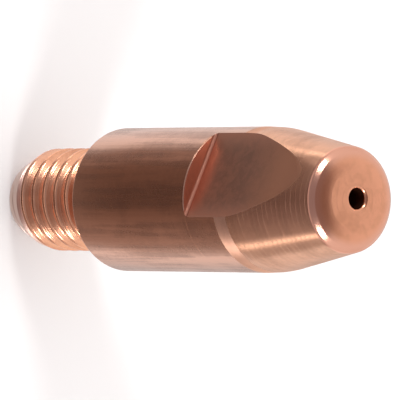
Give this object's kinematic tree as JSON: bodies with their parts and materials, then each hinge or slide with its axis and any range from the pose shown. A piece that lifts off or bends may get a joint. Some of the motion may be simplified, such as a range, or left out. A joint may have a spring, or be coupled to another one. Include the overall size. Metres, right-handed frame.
{
  "type": "welding contact tip",
  "caption": "Copper contact tip for wire welding: threaded end, round body with two wrench flats, tapered nose and a fine wire bore right through.",
  "frame": {"origin": "centre of the thread end, on the axis", "axes": "+Z along the axis from the thread end to the nose, +Y square to a wrench flat"},
  "size_m": [0.008, 0.008, 0.028],
  "materials": {
    "copper": "turned bright, light brown tarnish"
  },
  "bodies": {
    "root": {"contact_tip": "copper"}
  },
  "joints": []
}
